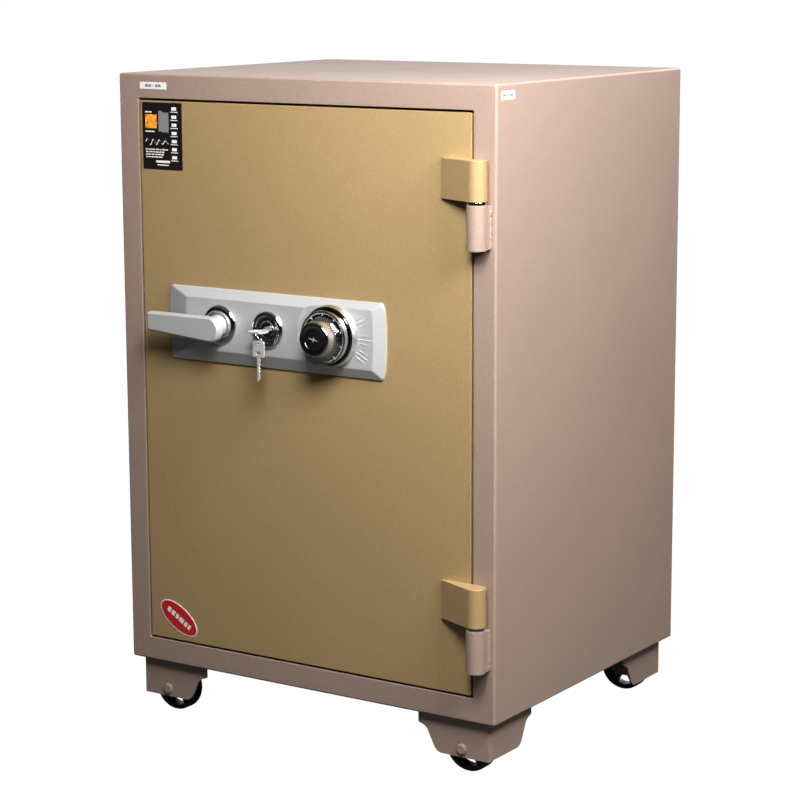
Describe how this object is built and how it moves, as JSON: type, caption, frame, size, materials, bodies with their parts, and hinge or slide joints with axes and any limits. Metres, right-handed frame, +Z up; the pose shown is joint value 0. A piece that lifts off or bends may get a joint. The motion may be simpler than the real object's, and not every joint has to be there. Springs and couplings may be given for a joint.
{
  "type": "fire-resistant office safe",
  "caption": "Upright fire-resistant safe with a hinged door, turning lever, key lock with hanging spare key, combination dial, shelves and fixed casters.",
  "frame": {"origin": "middle of the footprint on the floor, under the wheels", "axes": "+Z up, +X to the right of someone facing the door, the door looks along -Y"},
  "size_m": [0.584, 0.534, 0.875],
  "materials": {
    "cabinet_paint": "baked satin enamel with a fine texture",
    "door_paint": "baked satin gold enamel with a fine texture",
    "chrome": "polished plating",
    "satin_metal": "satin plated casting",
    "plated_steel": "zinc plated steel",
    "sheet_steel": "light grey painted sheet",
    "filling": "poured fire-resistant filling",
    "seal": "heat-swelling strip",
    "dial_black": "black",
    "wheel_black": "black",
    "label_dark": "printed plate",
    "label_light": "printed plate",
    "label_red": "printed sticker",
    "brass": "brass"
  },
  "bodies": {
    "cabinet": {"outer_shell": "cabinet_paint", "rear_panel": "cabinet_paint", "front_frame": "cabinet_paint", "cabinet_insulation": "filling", "bolt_sockets": "sheet_steel", "inner_liner": "sheet_steel", "door_seal": "seal", "lower_shelf": "sheet_steel", "upper_shelf": "sheet_steel", "shelf_rails": "plated_steel", "shelf_clips": "plated_steel", "frame_knuckles": "cabinet_paint", "hinge_pins": "plated_steel", "hinge_washers": "chrome", "caster_brackets": "cabinet_paint", "caster_hangers": "plated_steel", "axle_bolts": "plated_steel", "caster_fasteners": "plated_steel", "frame_label": "label_light"},
    "door": {"door_outer_plate": "door_paint", "door_insulation": "filling", "spindle_tubes": "plated_steel", "door_inner_cover": "sheet_steel", "cover_screws": "chrome", "lock_mounting_plate": "plated_steel", "bolt_guide": "plated_steel", "dead_bolt_bracket": "plated_steel", "fixed_dead_bolts": "chrome", "escutcheon": "satin_metal", "handle_rosette": "chrome", "key_rosette": "chrome", "dial_ring": "chrome", "upper_hinge_leaf": "door_paint", "lower_hinge_leaf": "door_paint", "key_lock_case": "plated_steel", "combination_lock_case": "plated_steel", "lock_covers": "plated_steel", "door_label": "label_dark", "door_sticker": "label_red"},
    "lever": {"lever_handle": "satin_metal", "handle_spindle": "plated_steel"},
    "boltwork": {"bolt_bar": "plated_steel", "live_bolts": "chrome"},
    "key_and_plug": {"key": "chrome", "lock_plug": "brass"},
    "key_bolt": {"key_lock_bolt": "brass"},
    "ring": {"key_ring": "chrome"},
    "spare": {"spare_key": "chrome"},
    "dial": {"dial_disc": "chrome", "dial_knob": "chrome", "dial_insert": "dial_black", "dial_spindle": "plated_steel"},
    "pack_wheel_1": {"combination_wheel_1": "brass"},
    "pack_wheel_2": {"combination_wheel_2": "brass"},
    "pack_wheel_3": {"combination_wheel_3": "brass"},
    "combination_bolt": {"combination_lock_bolt": "brass"},
    "wheel_front_left": {"front_left_wheel": "wheel_black"},
    "wheel_front_right": {"front_right_wheel": "wheel_black"},
    "wheel_rear_left": {"rear_left_wheel": "wheel_black"},
    "wheel_rear_right": {"rear_right_wheel": "wheel_black"}
  },
  "joints": [
    {"name": "door_swing", "type": "hinge", "parent": "cabinet", "child": "door", "pos_m": [0.273, -0.231, 0.475], "axis": [0, 0, 1], "range_deg": [0, 165]},
    {"name": "lever_turn", "type": "hinge", "parent": "door", "child": "lever", "pos_m": [-0.121, -0.249, 0.553], "axis": [0, -1, 0], "range_deg": [0, 50]},
    {"name": "bolt_throw", "type": "slide", "parent": "door", "child": "boltwork", "axis": [-1, 0, 0], "range_m": [0, 0.0203]},
    {"name": "key_turn", "type": "hinge", "parent": "door", "child": "key_and_plug", "pos_m": [-0.043, -0.233, 0.553], "axis": [0, -1, 0], "range_deg": [0, 90]},
    {"name": "key_bolt_lift", "type": "slide", "parent": "door", "child": "key_bolt", "axis": [0, 0, 1], "range_m": [0, 0.0085]},
    {"name": "key_ring_swing", "type": "hinge", "parent": "key_and_plug", "child": "ring", "pos_m": [-0.036, -0.259, 0.5551], "axis": [1, 0, 0], "range_deg": [-5, 5]},
    {"name": "spare_key_swing", "type": "hinge", "parent": "ring", "child": "spare", "pos_m": [-0.036, -0.259, 0.5411], "axis": [0, 1, 0], "range_deg": [-25, 25]},
    {"name": "dial_turn", "type": "hinge", "parent": "door", "child": "dial", "pos_m": [0.055, -0.248, 0.553], "axis": [0, -1, 0], "continuous": true},
    {"name": "pack_wheel_1_turn", "type": "hinge", "parent": "door", "child": "pack_wheel_1", "pos_m": [0.055, -0.153, 0.553], "axis": [0, -1, 0], "continuous": true},
    {"name": "pack_wheel_2_turn", "type": "hinge", "parent": "door", "child": "pack_wheel_2", "pos_m": [0.055, -0.149, 0.553], "axis": [0, -1, 0], "continuous": true},
    {"name": "pack_wheel_3_turn", "type": "hinge", "parent": "door", "child": "pack_wheel_3", "pos_m": [0.055, -0.145, 0.553], "axis": [0, -1, 0], "continuous": true},
    {"name": "combination_bolt_lift", "type": "slide", "parent": "door", "child": "combination_bolt", "axis": [0, 0, 1], "range_m": [0, 0.008]},
    {"name": "wheel_front_left_roll", "type": "hinge", "parent": "cabinet", "child": "wheel_front_left", "pos_m": [-0.238, -0.183, 0.034], "axis": [0, 1, 0], "continuous": true},
    {"name": "wheel_front_right_roll", "type": "hinge", "parent": "cabinet", "child": "wheel_front_right", "pos_m": [0.238, -0.183, 0.034], "axis": [0, 1, 0], "continuous": true},
    {"name": "wheel_rear_left_roll", "type": "hinge", "parent": "cabinet", "child": "wheel_rear_left", "pos_m": [-0.238, 0.233, 0.034], "axis": [0, 1, 0], "continuous": true},
    {"name": "wheel_rear_right_roll", "type": "hinge", "parent": "cabinet", "child": "wheel_rear_right", "pos_m": [0.238, 0.233, 0.034], "axis": [0, 1, 0], "continuous": true}
  ],
  "couplings": [
    {"joint": "bolt_throw", "follows": "lever_turn", "m_per_rad": 0.023245},
    {"joint": "key_bolt_lift", "follows": "key_turn", "m_per_rad": 0.005402},
    {"joint": "pack_wheel_1_turn", "follows": "dial_turn", "ratio": 1},
    {"joint": "pack_wheel_2_turn", "follows": "dial_turn", "ratio": 1},
    {"joint": "pack_wheel_3_turn", "follows": "dial_turn", "ratio": 1}
  ]
}
